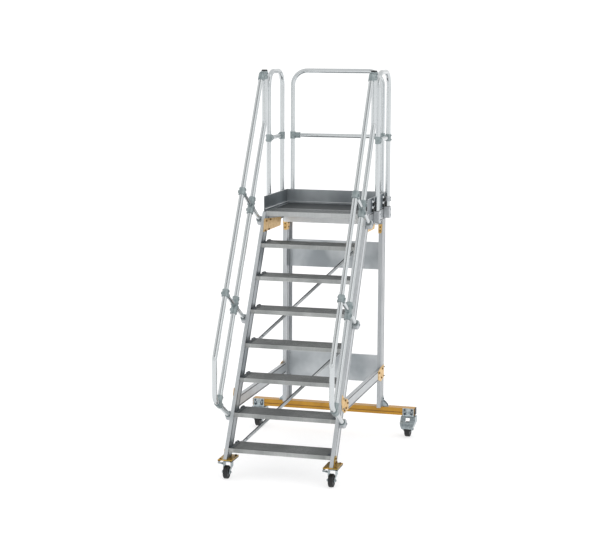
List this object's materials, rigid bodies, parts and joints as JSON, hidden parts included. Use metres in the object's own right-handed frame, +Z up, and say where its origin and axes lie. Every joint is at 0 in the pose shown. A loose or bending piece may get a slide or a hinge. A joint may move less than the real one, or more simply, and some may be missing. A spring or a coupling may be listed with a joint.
{
  "type": "mobile platform stairs",
  "caption": "Mobile access stairs: a steep flight of open ribbed treads between tubular handrails, rising to a guarded platform with kick boards, on swivel castors.",
  "frame": {"origin": "on the floor below the centre of the overall plan", "axes": "+X to the climber's right, +Y away from the climber towards the platform, +Z up"},
  "size_m": [1.416, 1.903, 3.021],
  "materials": {
    "profile": "satin extruded aluminium",
    "tube": "brushed aluminium tube",
    "tread": "ribbed aluminium, worn grey",
    "deck": "ribbed aluminium, worn grey",
    "sheet": "smooth aluminium sheet",
    "casting": "cast aluminium",
    "gilt_plate": "yellow passivated zinc plate",
    "beam_finish": "yellow anodised aluminium",
    "zinc": "zinc plated steel",
    "black_plastic": "black plastic",
    "grey_plastic": "grey plastic",
    "tyre": "black rubber"
  },
  "bodies": {
    "frame": {"stringer_left": "profile", "stringer_right": "profile", "side_beams": "profile", "base_struts": "profile", "uprights": "profile", "platform_cross_beams": "profile", "treads": "tread", "tread_end_caps": "tread", "stair_braces": "sheet", "platform_deck": "deck", "kick_boards_side": "sheet", "kick_board_back": "sheet", "rear_panels": "sheet", "rear_beam": "beam_finish", "beam_end_caps": "black_plastic", "corner_gussets": "gilt_plate", "brackets_top_rear": "gilt_plate", "upright_foot_brackets": "zinc", "handrail_left": "tube", "handrail_right": "tube", "knee_rails": "tube", "rail_struts": "tube", "rail_clamps": "casting", "rail_feet": "casting", "rail_top_fittings": "casting", "rail_top_caps": "black_plastic", "guard_left": "tube", "guard_right": "tube", "guard_back": "tube", "guard_mid_rails": "tube", "guard_tees": "casting", "guard_sleeves": "casting", "front_foot_plates": "gilt_plate", "front_foot_pads": "black_plastic", "rear_castor_brackets": "zinc", "castor_heads": "zinc"},
    "front_castor_left": {"front_fork_left": "zinc", "brake_pedal_left": "zinc"},
    "front_wheel_left": {"front_hub_left": "grey_plastic", "front_tyre_left": "tyre"},
    "front_castor_right": {"front_fork_right": "zinc", "brake_pedal_right": "zinc"},
    "front_wheel_right": {"front_hub_right": "grey_plastic", "front_tyre_right": "tyre"},
    "rear_castor_left": {"rear_fork_left": "zinc"},
    "rear_wheel_left": {"rear_hub_left": "grey_plastic", "rear_tyre_left": "tyre"},
    "rear_castor_right": {"rear_fork_right": "zinc"},
    "rear_wheel_right": {"rear_hub_right": "grey_plastic", "rear_tyre_right": "tyre"}
  },
  "joints": [
    {"name": "front_swivel_left", "type": "hinge", "parent": "frame", "child": "front_castor_left", "pos_m": [-0.405, -0.73347, 0.126], "axis": [0, 0, 1], "continuous": true},
    {"name": "front_roll_left", "type": "hinge", "parent": "front_castor_left", "child": "front_wheel_left", "pos_m": [-0.405, -0.77147, 0.05], "axis": [1, 0, 0], "continuous": true},
    {"name": "front_swivel_right", "type": "hinge", "parent": "frame", "child": "front_castor_right", "pos_m": [0.405, -0.73347, 0.126], "axis": [0, 0, 1], "continuous": true},
    {"name": "front_roll_right", "type": "hinge", "parent": "front_castor_right", "child": "front_wheel_right", "pos_m": [0.405, -0.77147, 0.05], "axis": [1, 0, 0], "continuous": true},
    {"name": "rear_swivel_left", "type": "hinge", "parent": "frame", "child": "rear_castor_left", "pos_m": [-0.647, 0.87198, 0.165], "axis": [0, 0, 1], "continuous": true},
    {"name": "rear_roll_left", "type": "hinge", "parent": "rear_castor_left", "child": "rear_wheel_left", "pos_m": [-0.647, 0.83798, 0.0625], "axis": [1, 0, 0], "continuous": true},
    {"name": "rear_swivel_right", "type": "hinge", "parent": "frame", "child": "rear_castor_right", "pos_m": [0.647, 0.87198, 0.165], "axis": [0, 0, 1], "continuous": true},
    {"name": "rear_roll_right", "type": "hinge", "parent": "rear_castor_right", "child": "rear_wheel_right", "pos_m": [0.647, 0.83798, 0.0625], "axis": [1, 0, 0], "continuous": true}
  ]
}
